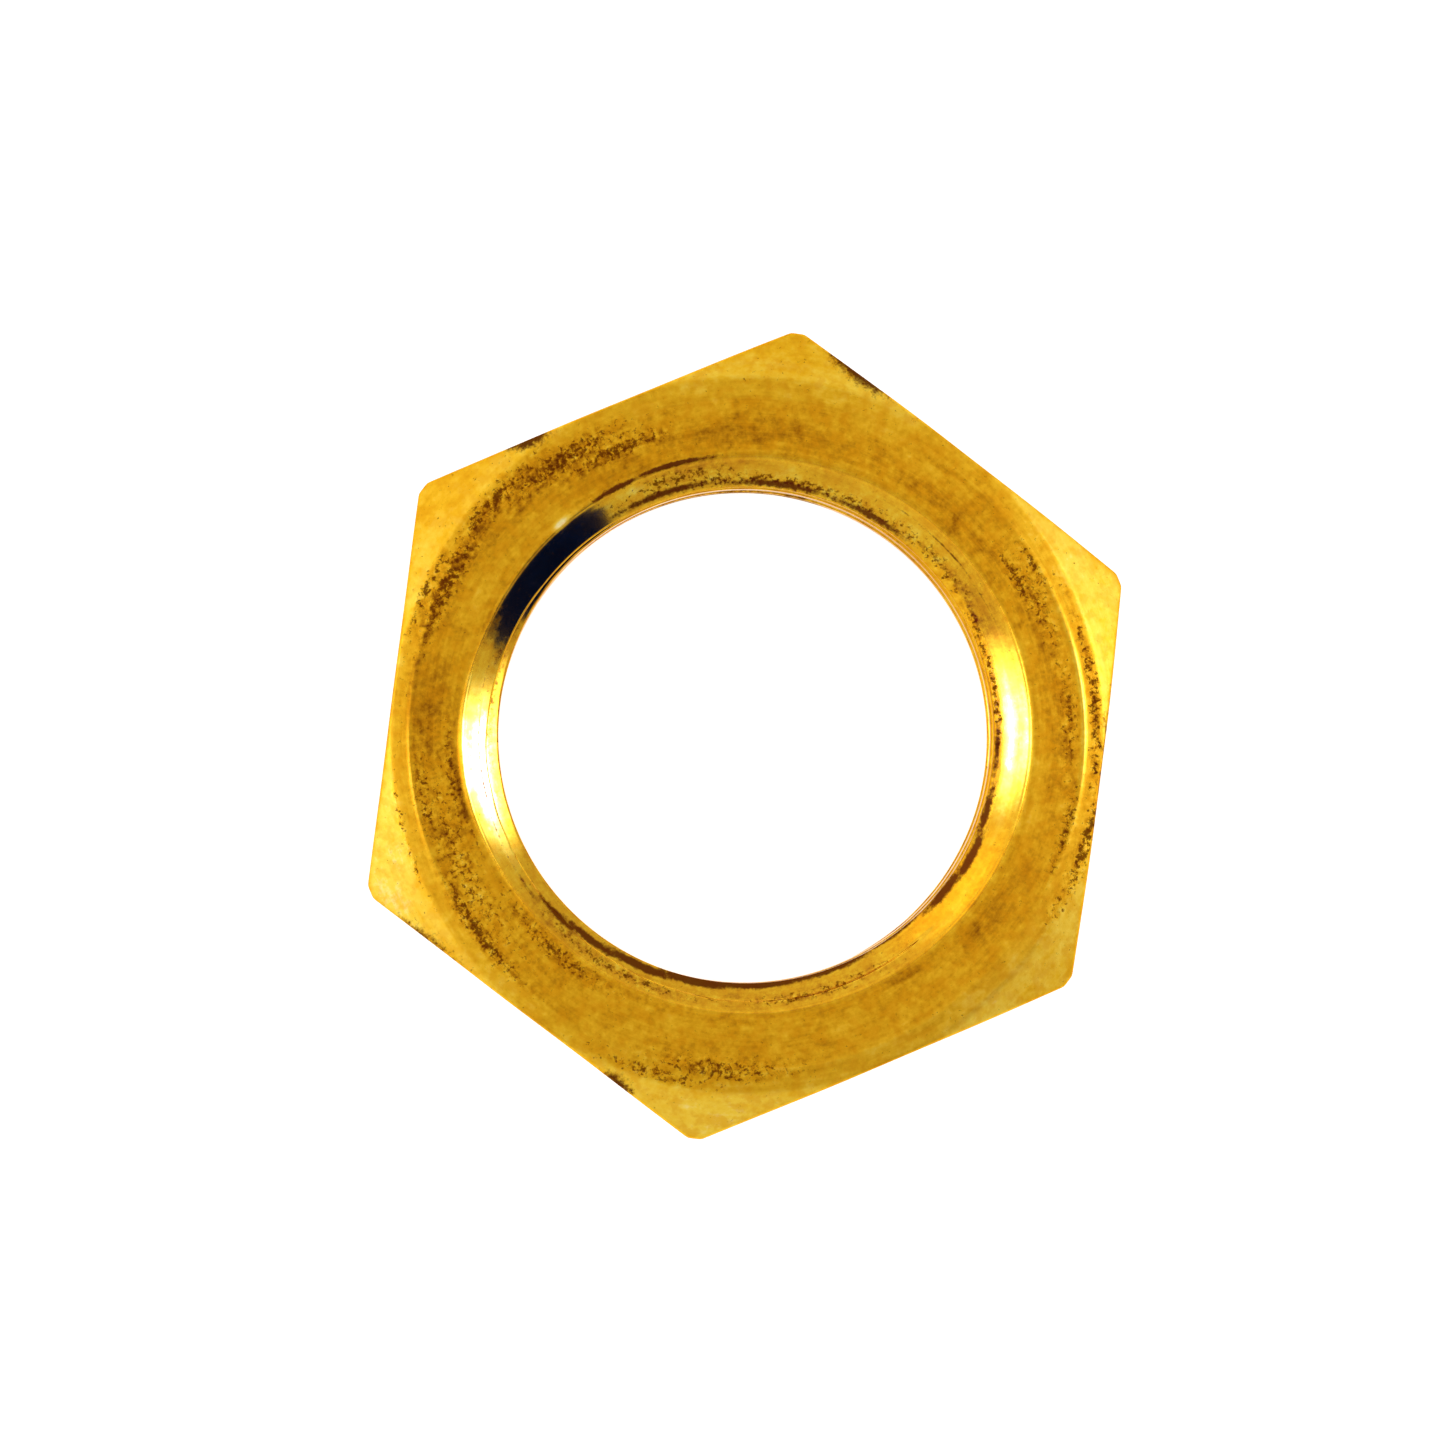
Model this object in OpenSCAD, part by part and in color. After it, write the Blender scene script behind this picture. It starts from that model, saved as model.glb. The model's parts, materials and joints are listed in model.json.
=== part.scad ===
// Thin hexagon nut in brass, with a fine right-hand thread for a panel bushing.
// Millimetres. The thread axis is Z, and the lower bearing face lies on z = 0.

/* [Hexagon] */
// Width across the flats
across_flats = 12.7; // [11.6:0.1:20]
// Height from one bearing face to the other
thickness = 2.38; // [1.6:0.02:8]

/* [Thread] */
// Major diameter, measured at the bottom of the groove
thread_d = 9.525; // [6:0.025:10.8]
// Threads in 25.4 mm of length
threads_per_inch = 32; // [24:1:44]
// Depth of the groove, from the crests of the thread to its bottom
thread_depth = 0.3375; // [0.2:0.0025:0.45]

/* [Countersinks] */
// How far the mouth of each countersink stands outside the thread's major diameter
sink_rim = 0.3125; // [0.05:0.0025:0.5]
// Included angle of the countersinks
sink_angle = 120; // [90:1:140]

/* [Faces and corners] */
// How far the flat bearing ring's edge lies inside the flats
face_inset = 0.35; // [0.1:0.01:0.5]
// Width of the slight bevel round the bearing ring, before the corner chamfer starts
bevel_w = 0.36; // [0.1:0.01:0.8]
// Slope of the slight bevel, in degrees from the face
bevel_angle = 8; // [2:0.5:20]
// Slope of the chamfer that cuts the six corners, in degrees from the face
corner_angle = 30; // [15:1:40]
// How much turning the bar's outside takes off each sharp corner
corner_cut = 0.07; // [0.02:0.01:0.3]

/* [Hidden] */

// Smoothness on screen only, as every round surface but the groove is a true cylinder or cone
$fn = 96;
// Reach of each cutter past the surface that it cuts
over = 0.5;

// Hexagon and bearing ring
corner_r = across_flats / 2 / cos(30);
face_r = across_flats / 2 - face_inset;
bevel_r = face_r + bevel_w;
turned_r = corner_r - corner_cut;
bevel_drop = bevel_w * tan(bevel_angle);
corner_drop = bevel_drop + (turned_r - bevel_r) * tan(corner_angle);

// Bore and countersinks
bore_r = thread_d / 2 - thread_depth;
sink_r = thread_d / 2 + sink_rim;
sink_depth = (sink_r - bore_r) / tan(sink_angle / 2);
mouth_r = sink_r + over * tan(sink_angle / 2);

// Thread groove: flanks 60 degrees apart, and a bottom an eighth of the pitch wide
pitch = 25.4 / threads_per_inch;
root_w = pitch / 8;
flank_slope = tan(30);
steps_per_turn = 60;
groove_r = thread_d / 2;
groove_inner_r = bore_r - 0.15;
groove_turns = ceil(thickness / pitch) + 2;
groove_steps = groove_turns * steps_per_turn;
groove_z0 = (thickness - groove_turns * pitch) / 2;

// Width of the groove along the axis, at radius r
function groove_w(r) = root_w + 2 * (groove_r - r) * flank_slope;

// The four corners of the groove's section, i steps along the helix
function groove_section(i) =
    let (a = 360 * i / steps_per_turn, z = groove_z0 + pitch * i / steps_per_turn)
    [for (c = [[groove_inner_r, -1], [groove_r, -1], [groove_r, 1], [groove_inner_r, 1]])
        [c[0] * cos(a), c[0] * sin(a), z + c[1] * groove_w(c[0]) / 2]];

// Hexagon bar, with two of its flats square to the Y axis
module hexagon_bar() {
    translate([0, 0, -over])
        cylinder(h = thickness + 2 * over, r = corner_r, $fn = 6);
}

// What the lathe leaves: two flat bearing faces, their slight bevels and the corner chamfers
module turned_form() {
    rotate_extrude()
        polygon([
            [0, 0],
            [face_r, 0],
            [bevel_r, bevel_drop],
            [turned_r, corner_drop],
            [turned_r, thickness - corner_drop],
            [bevel_r, thickness - bevel_drop],
            [face_r, thickness],
            [0, thickness]
        ]);
}

// Tapping drill and both countersinks, as one turned cutter
module bore_cutter() {
    rotate_extrude()
        polygon([
            [0, -over],
            [mouth_r, -over],
            [bore_r, sink_depth],
            [bore_r, thickness - sink_depth],
            [mouth_r, thickness + over],
            [0, thickness + over]
        ]);
}

// Groove that the tap cuts, swept along a right-hand helix as one closed solid
module thread_groove() {
    points = [for (i = [0:groove_steps]) each groove_section(i)];
    sides = [for (i = [0:groove_steps - 1], k = [0:3])
        [4 * i + k, 4 * i + (k + 1) % 4, 4 * (i + 1) + (k + 1) % 4, 4 * (i + 1) + k]];
    first_end = [3, 2, 1, 0];
    last_end = [for (k = [0:3]) 4 * groove_steps + k];
    polyhedron(points, concat(sides, [first_end, last_end]), convexity = 8);
}

module nut_body() {
    color([0.80, 0.60, 0.16])
        difference() {
            intersection() {
                hexagon_bar();
                turned_form();
            }
            bore_cutter();
            thread_groove();
        }
}

nut_body();
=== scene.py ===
"""A thin brass hexagon nut, lying on a plain pale floor and seen from almost straight above."""
import json
import math

import bpy
import numpy as np
from mathutils import Matrix, Vector


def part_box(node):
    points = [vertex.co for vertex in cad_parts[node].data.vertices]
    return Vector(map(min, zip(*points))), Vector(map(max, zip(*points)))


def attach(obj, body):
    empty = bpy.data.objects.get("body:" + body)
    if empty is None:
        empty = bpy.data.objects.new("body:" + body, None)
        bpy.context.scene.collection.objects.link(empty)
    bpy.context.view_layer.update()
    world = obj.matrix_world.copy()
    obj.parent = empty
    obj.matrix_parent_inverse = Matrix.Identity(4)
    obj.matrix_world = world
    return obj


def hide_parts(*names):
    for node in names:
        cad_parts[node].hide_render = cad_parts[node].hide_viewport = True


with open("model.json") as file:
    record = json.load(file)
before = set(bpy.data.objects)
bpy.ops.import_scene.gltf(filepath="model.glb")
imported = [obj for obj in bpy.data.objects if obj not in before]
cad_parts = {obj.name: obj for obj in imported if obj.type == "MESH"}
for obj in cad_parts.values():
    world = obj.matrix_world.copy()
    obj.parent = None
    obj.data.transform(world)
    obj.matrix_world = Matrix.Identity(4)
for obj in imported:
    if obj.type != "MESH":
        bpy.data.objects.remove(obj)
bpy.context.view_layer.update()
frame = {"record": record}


# ---------------------------------------------------------------- nut body
# The whole nut is one piece of brass: hexagon bar, faced, chamfered and tapped on a lathe.
# Its faces are worn to a dull ring with a fine raised lip, and the countersinks stay bright.
# It is a closed surface on a grid: one way goes round the axis, the other round the section.

MM = 0.001
nut_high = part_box("nut_body")[1]
thread_mount = next(m for m in frame["record"]["mounts"] if m["name"] == "thread")

HALF_FLATS = nut_high.y
TURNED_R = nut_high.x
THICK = nut_high.z
CREST_R = thread_mount["dims"]["r_mm"] * MM
GROOVE_R = 4.7625 * MM
PITCH = 25.4 / 32 * MM
SINK_R = 5.075 * MM
SINK_SLOPE = math.tan(math.radians(60))
FACE_R = 6.0 * MM
BEVEL_R = 6.36 * MM
BEVEL_SLOPE = math.tan(math.radians(8))
CORNER_SLOPE = math.tan(math.radians(30))
OFF_AXIS = math.radians(-22)
CREASE_R = 4.82 * MM
CREASE_DIP = 0.010 * MM
FACE_SINK = 0.020 * MM
LIP_HALF = 0.045 * MM
EDGE_ROUND = 0.04 * MM
MOUTH_ROUND = 0.055 * MM

COLUMNS = 360
BORE_ROWS = 128
MOUTH_ROWS = 6
RING_ROWS = 14
OUTER_ROWS = 34
EDGE_ROWS = 6
SIDE_ROWS = 11


def soft_step(x, width):
    """0 well below zero and 1 well above it, turning over about the given width."""
    return 1 / (1 + np.exp(-np.clip(x / width, -40, 40)))


def soft_ramp(x, width):
    """0 below zero and x above it, with the bend rounded over about the given width."""
    return width * np.logaddexp(0, x / width)


def soft_max(width, *shapes):
    """The greatest of several surfaces, with the creases between them rounded."""
    total = shapes[0] / width
    for shape in shapes[1:]:
        total = np.logaddexp(total, shape / width)
    return width * total


def hexagon_radius(angle):
    """Axis to outline: the flat's distance over the cosine from its middle, at most the turned corner."""
    from_flat = (angle + math.pi / 3) % (math.pi / 3) - math.pi / 6
    hexagon = HALF_FLATS / np.cos(from_flat)
    return -soft_max(0.008 * MM, -hexagon, np.full_like(hexagon, -TURNED_R))


def crease_radius(angle):
    """Where the countersink's two bands meet: a circle that is slightly off the axis."""
    return CREASE_R + 0.05 * MM * np.cos(angle - OFF_AXIS)


def angle_from(angle, centre):
    """Angle from a centre in degrees, the short way round."""
    return (np.degrees(angle) - centre + 180) % 360 - 180


def window(angle, centre, half):
    """A smooth hump over an arc: 1 at its centre, and fading past its half width."""
    return np.exp(-((angle_from(angle, centre) / half) ** 2))


def mouth_radius(angle):
    """Rim of the countersink: a circle slightly off the axis, slightly oval, and worn out on one arc."""
    oval = 0.045 * np.cos(angle - OFF_AXIS) + 0.03 * np.cos(2 * (angle - OFF_AXIS)) - 0.02
    return SINK_R + MM * (oval + 0.12 * window(angle, 162, 20))


def sink_radius(depth, angle):
    """Countersink: a 120 degree cone, pushed out by a tent that peaks at the crease of its two bands."""
    mouth, crease = mouth_radius(angle), crease_radius(angle)
    cone = mouth - depth * SINK_SLOPE
    up_to_crease = (cone - CREST_R) / (crease - CREST_R)
    down_from_crease = (mouth - cone) / (mouth - crease)
    tent = -soft_max(0.03, -up_to_crease, -down_from_crease)
    return cone + CREASE_DIP * SINK_SLOPE * np.clip(tent, 0, 1)


def bore_radius(height, angle):
    """Inner wall: the thread's 60 degree groove on its helix, the crests, and a countersink at each end."""
    off = ((height / PITCH - angle / (2 * math.pi) + 0.5) % 1 - 0.5) * PITCH
    groove = GROOVE_R - soft_ramp(np.abs(off) - PITCH / 16, 0.008 * MM) / math.tan(math.radians(30))
    crest = np.full_like(groove, CREST_R)
    lower_sink, upper_sink = sink_radius(height, angle), sink_radius(THICK - height, angle)
    return soft_max(0.007 * MM, groove, crest, lower_sink, upper_sink)


def lip_kept(angle):
    """How much of the face's raised lip is left: most on two arcs, and a trace elsewhere."""
    return 0.1 + 0.9 * np.maximum(window(angle, 343, 20), 0.6 * window(angle, 168, 16))


def face_drop(radius, angle):
    """How far the face lies under its lip: flat ring, the lip's bead, slight bevel and corner chamfer."""
    bevel = BEVEL_SLOPE * soft_ramp(radius - FACE_R, 0.014 * MM)
    chamfer = (CORNER_SLOPE - BEVEL_SLOPE) * soft_ramp(radius - BEVEL_R, 0.016 * MM)
    bead = FACE_SINK * lip_kept(angle) * np.exp(-(((radius - FACE_R) / LIP_HALF) ** 2))
    return FACE_SINK + bevel + chamfer - bead


def column_angles():
    """Angles round the axis, closer together near the six corners, where the outline turns."""
    even = np.arange(COLUMNS) / COLUMNS * 2 * math.pi
    return even - 0.7 / 6 * np.sin(6 * even)


angles = column_angles()[None, :]
# the outline, less the hundredth of a millimetre or so by which its edges are uneven
uneven_edge = 0.003 * MM * (2 + np.sin(5 * angles + 0.4) + np.sin(13 * angles + 2.0))
outline = hexagon_radius(angles) - uneven_edge

# upper half of the section, from the mouth of the countersink out to the rounded edge
SINK_HALF_ANGLE = math.radians(60)
rim_worn = np.maximum(window(angles, 300, 38), window(angles, 62, 34))
rim_round = MOUTH_ROUND + 0.05 * MM * window(angles, 162, 15) + 0.07 * MM * rim_worn
rim_corner = mouth_radius(angles) - FACE_SINK * SINK_SLOPE
rim_inside = rim_corner - rim_round * math.sin(SINK_HALF_ANGLE)
rim_top = THICK - FACE_SINK
t = np.linspace(0, 1, MOUTH_ROWS + 2)[1:-1, None]
rim_radius = (1 - t) ** 2 * rim_inside + 2 * t * (1 - t) * rim_corner + t ** 2 * (rim_corner + rim_round)
rim_drop = FACE_SINK + (1 - t) ** 2 * rim_round * math.cos(SINK_HALF_ANGLE)

ring_end = FACE_R - 0.12 * MM
ring_start = rim_corner + rim_round
share = np.linspace(0, 1, RING_ROWS, endpoint=False)[:, None]
ring_radius = ring_start + (ring_end - ring_start) * share
share = np.linspace(0, 1, OUTER_ROWS)[:, None] ** 1.15
outer_radius = ring_end + (outline - EDGE_ROUND - ring_end) * share
turn = np.linspace(0, math.pi / 2, EDGE_ROWS + 1)[1:, None]
edge_radius = outline - EDGE_ROUND + EDGE_ROUND * np.sin(turn)
edge_drop = face_drop(edge_radius, angles) + EDGE_ROUND * (1 - np.cos(turn))

top_radius = np.vstack([rim_radius, ring_radius, outer_radius, edge_radius])
top_drop = np.vstack([
    rim_drop,
    face_drop(ring_radius, angles),
    face_drop(outer_radius, angles),
    edge_drop,
])

# bore wall from the lower mouth to the upper one, and the flat side between the rounded edges
bore_top = rim_top - rim_round * math.cos(SINK_HALF_ANGLE)
share = np.linspace(0, 1, BORE_ROWS)[:, None]
bore_height = (THICK - bore_top) * (1 - share) + bore_top * share
bore_r = bore_radius(bore_height, angles)
down = np.linspace(0, 1, SIDE_ROWS + 2)[1:-1, None]
side_height = (THICK - edge_drop[-1:]) * (1 - down) + edge_drop[-1:] * down
side_radius = outline + 0 * down

radius = np.vstack([bore_r, top_radius, side_radius, top_radius[::-1]])
height = np.vstack([bore_height, THICK - top_drop, side_height, top_drop[::-1]])
rows = radius.shape[0]

# each face goes up the section first and then round the axis, so it faces out of the brass
points = np.stack([radius * np.cos(angles), radius * np.sin(angles), height], axis=-1)
row, column = np.meshgrid(np.arange(rows), np.arange(COLUMNS), indexing="ij")
next_row, next_column = (row + 1) % rows, (column + 1) % COLUMNS
quads = np.stack([
    row * COLUMNS + column,
    next_row * COLUMNS + column,
    next_row * COLUMNS + next_column,
    row * COLUMNS + next_column,
], axis=-1).reshape(-1, 4)

mesh = bpy.data.meshes.new("nut_brass")
mesh.vertices.add(rows * COLUMNS)
mesh.vertices.foreach_set("co", points.astype(np.float32).ravel())
mesh.loops.add(quads.size)
mesh.loops.foreach_set("vertex_index", quads.astype(np.int32).ravel())
mesh.polygons.add(len(quads))
mesh.polygons.foreach_set("loop_start", np.arange(0, quads.size, 4, dtype=np.int32))
mesh.polygons.foreach_set("use_smooth", np.ones(len(quads), dtype=bool))
mesh.update(calc_edges=True)
mesh.validate()
nut = bpy.data.objects.new("nut_brass", mesh)
bpy.context.scene.collection.objects.link(nut)

# Wear and dirt, and painted highlights, reflections, light and shade, as patches listed on the upper face
# and copied a half turn on to the lower one:
# (angle from +X in degrees, radius in mm, half widths of both, strength)
SPECK_PATCHES = [
    (7, 5.54, 8, 0.13, 1.08),
    (2, 5.70, 13, 0.22, 0.76),
    (8, 5.92, 7, 0.12, 0.90),
    (341, 5.74, 15, 0.20, 0.72),
    (343, 6.22, 20, 0.13, 0.95),
    (92, 5.58, 11, 0.19, 1.08),
    (101, 5.88, 14, 0.26, 1.02),
    (114, 6.14, 13, 0.22, 0.98),
    (131, 5.98, 13, 0.24, 1.06),
    (133, 6.25, 10, 0.14, 0.88),
    (165, 5.32, 12, 0.09, 1.05),
    (170, 5.20, 8, 0.05, 0.85),
    (169, 5.85, 13, 0.22, 0.80),
    (182, 5.60, 26, 0.34, 0.76),
    (179, 5.18, 5, 0.04, 1.00),
    (193, 5.93, 13, 0.16, 1.15),
    (174, 6.35, 12, 0.08, 0.78),
    (205, 5.15, 18, 0.18, 0.92),
    (232, 6.24, 12, 0.14, 0.92),
    (243, 5.98, 15, 0.24, 0.92),
    (321, 5.92, 11, 0.14, 0.90),
    (318, 6.33, 14, 0.16, 1.05),
    (350, 4.50, 26, 0.07, 0.95),
    (22, 4.62, 26, 0.15, 0.85),
    (60, 4.58, 34, 0.12, 0.95),
    (84, 4.72, 16, 0.16, 0.90),
    (216, 4.80, 22, 0.12, 0.88),
    (262, 4.74, 24, 0.12, 0.80),
]
FILM_AND_SHADE_PATCHES = [
    (83, 4.98, 9, 0.050, 1.20),
    (96, 4.96, 6, 0.055, 1.10),
    # from 192 to 284 degrees: painted shade in the crease, then the dark line along the hole's edge, which
    # is partly stain and partly painted shade where the edge drops into the bore
    (192, 4.77, 6, 0.035, 0.75),
    (201, 4.66, 7, 0.060, 1.10),
    (210, 4.59, 8, 0.070, 1.20),
    (222, 4.53, 9, 0.080, 1.30),
    (236, 4.48, 10, 0.085, 1.35),
    (250, 4.45, 12, 0.080, 1.30),
    (266, 4.43, 13, 0.075, 1.20),
    (284, 4.43, 9, 0.045, 0.90),
    (299, 4.49, 7, 0.080, 1.20),
    (309, 4.55, 7, 0.080, 1.25),
    (319, 4.49, 8, 0.075, 1.00),
    (334, 4.48, 9, 0.060, 0.80),
    (5, 4.58, 5, 0.060, 0.75),
    (38, 4.50, 12, 0.075, 0.90),
    (60, 4.51, 14, 0.075, 1.00),
    (86, 4.55, 14, 0.070, 1.00),
    (134, 4.90, 5, 0.120, 0.55),
    (139, 4.64, 4, 0.060, 0.70),
]
TONE_PATCHES = [
    (25, 5.30, 14, 0.22, -0.14),
    (55, 5.42, 22, 0.20, -0.10),
    (66, 5.20, 4, 0.10, -0.14),
    (86, 5.22, 13, 0.22, -0.16),
    (120, 5.72, 18, 0.10, -0.14),
    (120, 5.30, 16, 0.15, 0.07),
    (153, 5.65, 8, 0.30, -0.20),
    (188, 5.50, 20, 0.30, 0.02),
    (240, 5.08, 22, 0.07, -0.12),
    (281, 5.12, 5, 0.10, -0.20),
    (297, 5.35, 8, 0.22, -0.20),
    (330, 5.30, 15, 0.12, 0.10),
    (345, 5.50, 25, 0.25, -0.15),
    (90, 5.50, 20, 0.26, -0.08),
    (165, 6.00, 45, 0.07, -0.12),
    (344, 6.20, 20, 0.10, -0.12),
    (70, 6.15, 22, 0.15, 0.10),
    # painted highlights on the countersink: the pale patches at 160, 166 and 337 degrees, with painted
    # shade inside the right highlight at 6 degrees
    (160, 5.05, 13, 0.07, 0.32),
    (167, 5.21, 11, 0.05, -0.36),
    (166, 4.76, 19, 0.24, 0.62),
    (337, 4.72, 15, 0.11, 0.46),
    (6, 4.72, 13, 0.20, -0.26),
    (337, 4.98, 14, 0.10, 0.32),
    (118, 5.98, 22, 0.14, -0.26),
    # the next five make the polished countersink lighter or darker in places, as its reflection is: painted
    # reflection
    (302, 4.77, 20, 0.12, 0.16),
    (22, 4.70, 24, 0.16, 0.20),
    (72, 4.84, 14, 0.12, -0.10),
    (93, 4.78, 8, 0.10, 0.30),
    (70, 4.68, 24, 0.10, 0.16),
    (40, 4.51, 30, 0.09, 0.20),
    (195, 4.80, 14, 0.20, -0.06),
    # the corner chamfers, each lighter or darker as light falls on it: painted light and shade
    (0, 7.00, 14, 0.40, -0.01),
    (180, 7.00, 14, 0.40, 0.05),
    (240, 7.00, 14, 0.40, 0.09),
    (120, 7.00, 14, 0.45, -0.16),
    (270, 6.00, 40, 0.07, 0.08),
    (270, 6.20, 40, 0.10, 0.06),
    # two more corners made darker: painted shade
    (300, 7.00, 14, 0.45, -0.09),
    (60, 7.00, 14, 0.45, -0.14),
    # a painted glint: a tiny pale spot on the nick at the countersink's mouth
    (109, 5.01, 2.0, 0.06, 0.75),
]

# wear reaches from each face to the hexagon's edge or a little way down the bore, and fades below that
BORE_WEAR = 0.50 * MM
WEAR_FADE = 0.22 * MM
depth = np.minimum(height, THICK - height)
reach_down = np.where(radius > FACE_R, edge_drop[-1:], BORE_WEAR)
near_face = np.exp(-(np.clip(depth - reach_down, 0, None) / WEAR_FADE) ** 2)
facing = angles + math.pi * soft_step(THICK / 2 - height, 0.001 * MM)


def at_patches(patches, join):
    """All the humps of a list of patches: each one is a hump of the angle times one of the radius."""
    total = 0 * radius
    for centre, middle, half_angle, half_radius, strength in patches:
        across = np.exp(-(((radius / MM - middle) / half_radius) ** 2))
        total = join(total, strength * across * near_face * window(facing, centre, half_angle))
    return total


# a few specks are everywhere, dirt lies along the outer edge and down in the thread, and painted shade
# darkens the countersink's crease:
# (angle from +X in degrees, half width, strength)
EDGE_DIRT = ((50, 6, 1.0), (104, 4, 1.0), (190, 8, 0.6), (227, 3, 0.9), (335, 12, 0.5))
CREASE_SHADE = ((17, 22, 0.75), (166, 26, 0.90), (225, 20, 0.45))
RARE_SPECKS = 0.16
OUTER_ZONE_R = 5.9 * MM
specks = np.maximum(RARE_SPECKS + 0 * radius, at_patches(SPECK_PATCHES, np.maximum))


def along_arcs(arcs):
    """The sum of the humps of a list of arcs round the axis."""
    return sum(strength * window(facing, centre, half) for centre, half, strength in arcs)


edge_gap = np.clip(outline - radius, 0, None)
on_edge = np.exp(-(edge_gap / (0.20 * MM)) ** 1.5) * (radius > OUTER_ZONE_R) * near_face
edge_dirt = on_edge * along_arcs(EDGE_DIRT)
in_sink = soft_step(mouth_radius(facing) - 0.03 * MM - radius, 0.01 * MM)
on_crease = np.exp(-(((radius - crease_radius(facing)) / (0.020 * MM)) ** 2)) * in_sink
# painted shade along the countersink's crease
crease_shade = on_crease * along_arcs(CREASE_SHADE)
groove_deep = soft_step(radius - CREST_R - 0.10 * MM, 0.05 * MM) * (radius < SINK_R)
in_thread = groove_deep * soft_step(depth - 0.56 * MM, 0.03 * MM)
# this mask holds tarnish films and stains, and painted shade in the crease and along the hole's edge from
# 192 to 284 degrees
film_and_shade = np.maximum.reduce([at_patches(FILM_AND_SHADE_PATCHES, np.maximum), edge_dirt, crease_shade, 0.8 * in_thread])

# the zones of the surface, each 1 inside and 0 outside: the polished countersink, its dulled rim, the six
# flats, the corner chamfers, the bevel, the edge's line, the lip, painted paler as a highlight, and one
# small nick, rough and painted pale as a glint
polish_end = mouth_radius(facing) - 0.06 * MM * (1 - window(facing, 162, 20))
polish = soft_step(polish_end - radius, 0.022 * MM)
dulled = np.clip(1.4 * window(facing, 352, 40), 0, 1)
rim = soft_step(4.58 * MM - radius, 0.010 * MM) * dulled
side = soft_step(depth - edge_drop[-1:], 0.02 * MM) * (radius > FACE_R)
facet = soft_step(radius - 6.34 * MM, 0.03 * MM)
bevel = soft_step(radius - 6.10 * MM, 0.05 * MM)
edge_line = np.exp(-(edge_gap / (0.05 * MM)) ** 2) * (radius > OUTER_ZONE_R)
lip = lip_kept(facing) * np.exp(-(((radius - FACE_R) / LIP_HALF) ** 2))
# a small rough nick, which the tone list paints pale as a painted glint
nick_glint = window(facing, 109, 2.0) * np.exp(-(((radius / MM - 5.01) / 0.06) ** 2))

# tone runs from brown tarnish to clean yellow brass, and up to pale brass where highlights are painted;
# shine runs from the dull turned face to the polish
BARE_TONE = 0.41
tone = BARE_TONE + 0.03 * polish - 0.03 * rim - 0.13 * side
tone = tone + (0.09 * bevel + 0.19 * facet) * (1 - 0.85 * side)
# the lip is painted paler: a painted highlight along the raised lip
tone = tone + 0.34 * lip - 0.10 * edge_line * (1 - side)
tone = tone - 0.16 * np.clip(specks - 0.25, 0, 0.7) + at_patches(TONE_PATCHES, np.add)
shine = np.clip(polish * (1 - 0.92 * rim) - nick_glint, 0, 1) + 0.5 * lip

layers = {"tone": tone, "shine": shine, "specks": specks, "film_and_shade": film_and_shade, "side": side}
for name, values in layers.items():
    layer = mesh.attributes.new(name, "FLOAT", "POINT")
    layer.data.foreach_set("value", (values + 0 * radius).astype(np.float32).ravel())


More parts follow.
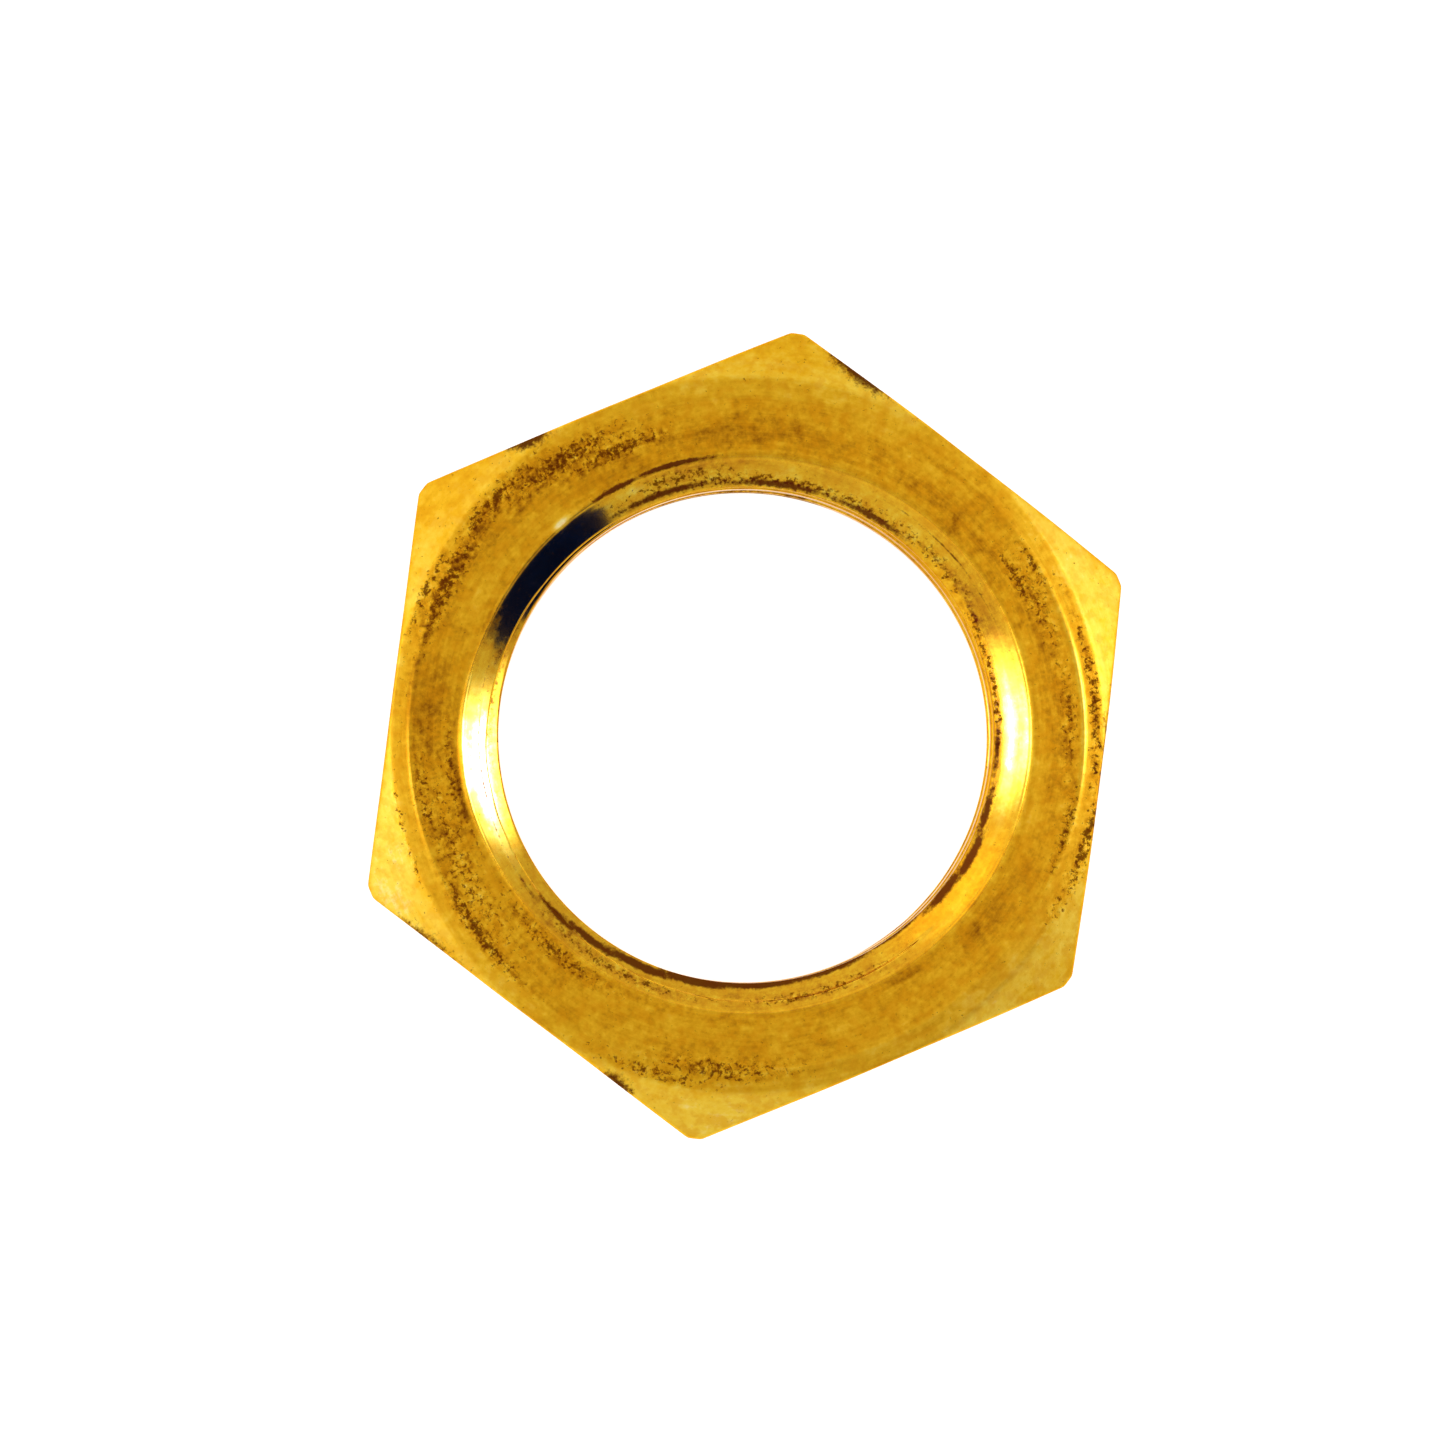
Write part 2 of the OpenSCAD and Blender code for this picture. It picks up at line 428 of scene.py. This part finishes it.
def brass_material():
    """Old bright brass with painted highlights and painted shade: colour drift, turned and drawn lines,
    matt and polished zones, specks and tarnish films.
    """
    material = bpy.data.materials.new("aged_brass")
    material.use_nodes = True
    tree = material.node_tree
    tree.nodes.clear()

    def node(kind, **settings):
        made = tree.nodes.new(kind)
        for key, value in settings.items():
            setattr(made, key, value)
        return made

    def link(source, target):
        tree.links.new(source, target)

    def maths(operation, a, b=None, clamp=False):
        made = node("ShaderNodeMath", operation=operation, use_clamp=clamp)
        for socket, value in zip(made.inputs, (a, b)):
            if value is None:
                continue
            if isinstance(value, (int, float)):
                socket.default_value = value
            else:
                link(value, socket)
        return made.outputs[0]

    def mixed(factor, a, b):
        made = node("ShaderNodeMix", data_type="RGBA")
        for socket, value in zip((made.inputs[0], made.inputs[6], made.inputs[7]), (factor, a, b)):
            if isinstance(value, tuple):
                socket.default_value = (*value, 1.0)
            elif isinstance(value, (int, float)):
                socket.default_value = value
            else:
                link(value, socket)
        return made.outputs[2]

    def step(value, low, high):
        made = node("ShaderNodeMapRange", interpolation_type="SMOOTHSTEP")
        link(value, made.inputs[0])
        made.inputs[1].default_value = low
        made.inputs[2].default_value = high
        return made.outputs[0]

    def noise(vector, scale, detail, rough=0.5):
        made = node("ShaderNodeTexNoise")
        link(vector, made.inputs["Vector"])
        made.inputs["Scale"].default_value = scale
        made.inputs["Detail"].default_value = detail
        made.inputs["Roughness"].default_value = rough
        return made.outputs["Fac"]

    place = node("ShaderNodeTexCoord").outputs["Object"]
    millimetres = node("ShaderNodeVectorMath", operation="SCALE")
    link(place, millimetres.inputs[0])
    millimetres.inputs["Scale"].default_value = 1 / MM
    where = millimetres.outputs[0]

    def attribute(name):
        return node("ShaderNodeAttribute", attribute_name=name).outputs["Fac"]

    tone, shine, speck_mask, film_and_shade_mask, side_mask = (attribute(name) for name in layers)

    # turned lines: noise that changes fast away from the axis and slowly round it
    flat_place = node("ShaderNodeVectorMath", operation="MULTIPLY")
    link(where, flat_place.inputs[0])
    flat_place.inputs[1].default_value = (1.0, 1.0, 0.0)
    round_place = node("ShaderNodeVectorMath", operation="NORMALIZE")
    link(flat_place.outputs[0], round_place.inputs[0])
    axis_r = node("ShaderNodeVectorMath", operation="LENGTH")
    link(flat_place.outputs[0], axis_r.inputs[0])
    parts = node("ShaderNodeSeparateXYZ")
    link(where, parts.inputs[0])
    across = node("ShaderNodeCombineXYZ")
    link(maths("ADD", maths("MULTIPLY", axis_r.outputs["Value"], 2.2), parts.outputs[2]), across.inputs[2])
    turned_place = node("ShaderNodeVectorMath", operation="ADD")
    link(round_place.outputs[0], turned_place.inputs[0])
    link(across.outputs[0], turned_place.inputs[1])
    turned = noise(turned_place.outputs[0], 5.0, 5.0, 0.62)

    # drawn lines on the six flats: noise that changes fast round the bar and slowly along it
    bar_place = node("ShaderNodeVectorMath", operation="MULTIPLY")
    link(where, bar_place.inputs[0])
    bar_place.inputs[1].default_value = (1.0, 1.0, 0.06)
    drawn = noise(bar_place.outputs[0], 9.0, 4.0, 0.62)
    both_lines = node("ShaderNodeMix", data_type="FLOAT")
    link(side_mask, both_lines.inputs[0])
    link(turned, both_lines.inputs[2])
    link(drawn, both_lines.inputs[3])
    lines = both_lines.outputs[0]

    cloud = noise(where, 0.8, 3.0)
    mottle = noise(where, 2.6, 4.0, 0.65)
    grain = noise(where, 8.0, 3.0, 0.65)
    speck_noise = noise(where, 11.0, 3.0, 0.70)

    def spread(value, amount):
        """A noise moved to run either side of zero, over about plus and minus the amount."""
        return maths("MULTIPLY", maths("SUBTRACT", value, 0.5), 2 * amount)

    uneven = maths("ADD", spread(cloud, 0.24), spread(mottle, 0.34))
    uneven = maths("ADD", uneven, spread(lines, 0.28))
    uneven = maths("ADD", uneven, maths("MULTIPLY", spread(grain, 0.80), maths("ADD", speck_mask, 0.30)))
    worn = maths("ADD", tone, maths("MULTIPLY", uneven, maths("SUBTRACT", 1.20, tone)), clamp=True)
    ramp = node("ShaderNodeValToRGB")
    stops = (
        (0.0, (0.26, 0.085, 0.002)),
        (0.20, (0.52, 0.215, 0.004)),
        (0.38, (0.72, 0.35, 0.007)),
        (0.56, (0.84, 0.47, 0.015)),
        (0.78, (0.90, 0.61, 0.055)),
        # the palest stop is reached where highlights are painted
        (1.0, (0.96, 0.80, 0.30)),
    )
    for position, shade in stops[1:-1]:
        ramp.color_ramp.elements.new(position)
    for element, (position, shade) in zip(ramp.color_ramp.elements, stops):
        element.position = position
        element.color = (*shade, 1.0)
    link(worn, ramp.inputs[0])
    # the last colour here also paints shade in the crease and along the hole's edge
    warm_brass, speck_brown, film_and_shade_brown = (0.72, 0.29, 0.003), (0.12, 0.022, 0.001), (0.095, 0.010, 0.003)
    warm = maths("MULTIPLY", step(noise(where, 3.4, 3.0, 0.6), 0.44, 0.62), 0.38)
    metal = mixed(warm, ramp.outputs[0], warm_brass)

    speck_at = maths("ADD", speck_noise, maths("MULTIPLY", speck_mask, 0.27))
    speck = step(speck_at, 0.67, 0.83)
    # this mask also paints shade in the crease and along the hole's edge
    film_and_shade = step(maths("ADD", film_and_shade_mask, spread(speck_noise, 0.60)), 0.25, 0.80)
    colour = mixed(maths("MULTIPLY", speck, 0.85), metal, speck_brown)
    colour = mixed(maths("MULTIPLY", film_and_shade, 0.92), colour, film_and_shade_brown)

    dull = maths("SUBTRACT", 1.0, shine)
    dirt_and_shade = maths("MAXIMUM", speck, film_and_shade)
    rough = maths("ADD", maths("MULTIPLY", dull, 0.40), 0.08)
    rough = maths("ADD", rough, maths("MULTIPLY", spread(grain, 0.10), dull))
    rough = maths("ADD", rough, maths("MULTIPLY", dirt_and_shade, 0.22), clamp=True)

    heights = maths("ADD", maths("MULTIPLY", grain, 0.6), maths("MULTIPLY", lines, 0.5))
    heights = maths("SUBTRACT", heights, maths("MULTIPLY", speck, 0.5))
    heights = maths("MULTIPLY", heights, maths("ADD", maths("MULTIPLY", dull, 0.94), 0.06))
    bump = node("ShaderNodeBump")
    bump.inputs["Strength"].default_value = 0.35
    bump.inputs["Distance"].default_value = 0.02 * MM
    link(heights, bump.inputs["Height"])

    shader = node("ShaderNodeBsdfPrincipled")
    link(colour, shader.inputs["Base Color"])
    link(rough, shader.inputs["Roughness"])
    link(bump.outputs["Normal"], shader.inputs["Normal"])
    shader.inputs["Metallic"].default_value = 1.0
    coat = maths("ADD", maths("MULTIPLY", shine, 0.17), 0.03)
    link(maths("MULTIPLY", coat, maths("SUBTRACT", 1.0, dirt_and_shade)), shader.inputs["Coat Weight"])
    shader.inputs["Coat Roughness"].default_value = 0.10
    shader.inputs["Specular Tint"].default_value = (0.80, 0.52, 0.14, 1.0)
    output = node("ShaderNodeOutputMaterial")
    link(shader.outputs[0], output.inputs[0])
    return material


mesh.materials.append(brass_material())
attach(nut, "root")
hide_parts("nut_body")


# ---------------------------------------------------------------- floor, light and camera
# A pale floor under the nut and a pale dome over it, with a wide lamp overhead. The countersink
# reflects five cards that face it: a bright bluish one for the highlight on each side, a weak warm one
# over the right-hand one, another for the golden lower right, and a near-black blue one.


def glow_material(name, colour, strength, shade=(0.0, 0.0, 0.0)):
    """An even glow on an even colour, for what isn't part of the object."""
    material = bpy.data.materials.new(name)
    material.use_nodes = True
    shader = material.node_tree.nodes["Principled BSDF"]
    shader.inputs["Base Color"].default_value = (*shade, 1.0)
    shader.inputs["Roughness"].default_value = 0.9
    shader.inputs["Specular IOR Level"].default_value = 0.0
    shader.inputs["Emission Color"].default_value = (*colour, 1.0)
    shader.inputs["Emission Strength"].default_value = strength
    return material


def flat_card(name, width, depth):
    """A flat rectangle in its own XY plane, centred on its origin."""
    card = bpy.data.meshes.new(name)
    x, y = width / 2, depth / 2
    card.from_pydata([(-x, -y, 0), (x, -y, 0), (x, y, 0), (-x, y, 0)], [], [(0, 1, 2, 3)])
    made = bpy.data.objects.new(name, card)
    bpy.context.scene.collection.objects.link(made)
    return made


def towards(azimuth, elevation):
    """The unit direction at that azimuth from +X and that elevation, in degrees."""
    a, e = math.radians(azimuth), math.radians(elevation)
    return Vector((math.cos(a) * math.cos(e), math.sin(a) * math.cos(e), math.sin(e)))


def soften_edge(material, size):
    """Lets a card fade from its middle to nothing along its oval edge, where the dome shows through."""
    tree = material.node_tree
    place = tree.nodes.new("ShaderNodeTexCoord").outputs["Object"]
    scaled = tree.nodes.new("ShaderNodeVectorMath")
    scaled.operation = "MULTIPLY"
    scaled.inputs[1].default_value = (2 / size.x, 2 / size.y, 0)
    tree.links.new(place, scaled.inputs[0])
    length = tree.nodes.new("ShaderNodeVectorMath")
    length.operation = "LENGTH"
    tree.links.new(scaled.outputs[0], length.inputs[0])
    fade = tree.nodes.new("ShaderNodeMapRange")
    fade.interpolation_type = "SMOOTHSTEP"
    fade.inputs["From Min"].default_value = 1.0
    fade.inputs["From Max"].default_value = 0.05
    tree.links.new(length.outputs["Value"], fade.inputs["Value"])
    tree.links.new(fade.outputs["Result"], tree.nodes["Principled BSDF"].inputs["Alpha"])


def sink_card(
    name, azimuth, half_azimuth, elevation, half_elevation, reach, colour, strength, soft_edge=True,
):
    """A card that the countersink's far side reflects, sized by the angles that it fills from there."""
    far_side = towards(azimuth + 180, 0) * CREASE_R + Vector((0, 0, THICK))
    ray = towards(azimuth, elevation)
    from_axis = reach * math.cos(math.radians(elevation)) - CREASE_R
    width = 2 * from_axis * math.tan(math.radians(half_azimuth))
    card = flat_card(name, width, 2 * reach * math.tan(math.radians(half_elevation)))
    card.location = far_side + ray * reach
    card.rotation_euler = ray.to_track_quat("Z", "Y").to_euler()
    material = glow_material(name, colour, strength)
    card.data.materials.append(material)
    if soft_edge:
        soften_edge(material, card.dimensions)
    card.visible_camera = False
    card.visible_diffuse = False
    card.visible_shadow = False


floor = flat_card("floor", 0.9, 0.9)
floor.location.z = -0.00001
floor.data.materials.append(glow_material("pale_floor", (1.0, 1.0, 1.0), 0.75, (0.6, 0.6, 0.6)))

sink_card("right_card", -14, 24, 32, 16, 0.042, (0.46, 0.50, 1.0), 19.0)
sink_card("left_card", 158, 24, 37, 14, 0.042, (0.46, 0.48, 1.0), 17.0)
sink_card("shoulder_card", -18, 26, 58, 19, 0.042, (1.0, 0.80, 0.55), 2.4)
sink_card("gold_card", 118, 24, 33, 14, 0.046, (1.0, 0.88, 0.5), 1.6)
sink_card("dark_card", 301.5, 16.8, 33, 13, 0.026, (0.0, 0.01, 1.0), 0.6, soft_edge=False)

overhead = bpy.data.lights.new("overhead", "AREA")
overhead.size = 0.30
overhead.energy = 0.35
overhead_place = bpy.data.objects.new("overhead", overhead)
bpy.context.scene.collection.objects.link(overhead_place)
overhead_place.location.z = 0.25
overhead_place.visible_glossy = False

# the dome is brighter low down and on one side, and even where the camera looks straight at it
world = bpy.data.worlds.new("pale_dome")
bpy.context.scene.world = world
world.use_nodes = True
sky = world.node_tree
direction = sky.nodes.new("ShaderNodeTexCoord").outputs["Generated"]
split = sky.nodes.new("ShaderNodeSeparateXYZ")
sky.links.new(direction, split.inputs[0])
fall = sky.nodes.new("ShaderNodeMapRange")
fall.inputs["To Min"].default_value = 1.12
fall.inputs["To Max"].default_value = 0.52
sky.links.new(split.outputs[2], fall.inputs["Value"])
side_on = sky.nodes.new("ShaderNodeVectorMath")
side_on.operation = "DOT_PRODUCT"
side_on.inputs[1].default_value = towards(148, 0) * 0.20
sky.links.new(direction, side_on.inputs[0])
dome = sky.nodes.new("ShaderNodeMath")
dome.operation = "ADD"
sky.links.new(fall.outputs["Result"], dome.inputs[0])
sky.links.new(side_on.outputs["Value"], dome.inputs[1])
seen = sky.nodes.new("ShaderNodeMix")
seen.data_type = "RGBA"
sky.links.new(sky.nodes.new("ShaderNodeLightPath").outputs["Is Camera Ray"], seen.inputs[0])
sky.links.new(dome.outputs[0], seen.inputs[6])
seen.inputs[7].default_value = (0.96, 0.96, 0.96, 1.0)
sky.links.new(seen.outputs[2], sky.nodes["Background"].inputs[0])

bpy.context.scene.view_settings.view_transform = "Standard"

# the camera looks down at the nut's upper face, a little off the axis, with its frame turned
TILT, TILT_TOWARDS = 3.0, 192
ROLL = 22.6
DISTANCE = 0.105
VIEW_WIDTH = 25.666 * MM
SENSOR = 36.0
AIM_RIGHT, AIM_UP = -0.45 * MM, 0.21 * MM

back = towards(TILT_TOWARDS, 90 - TILT)
right = towards(-ROLL, 0)
up = back.cross(right).normalized()
right = up.cross(back)
aim = Vector((0, 0, THICK)) + right * AIM_RIGHT + up * AIM_UP
camera_data = bpy.data.cameras.new("camera")
camera_data.sensor_width = SENSOR
camera_data.lens = DISTANCE * SENSOR / VIEW_WIDTH
camera_data.clip_start, camera_data.clip_end = 0.001, 10.0
camera = bpy.data.objects.new("camera", camera_data)
bpy.context.scene.collection.objects.link(camera)
turned_frame = Matrix((right, up, back)).transposed().to_4x4()
camera.matrix_world = Matrix.Translation(aim + back * DISTANCE) @ turned_frame
bpy.context.scene.camera = camera
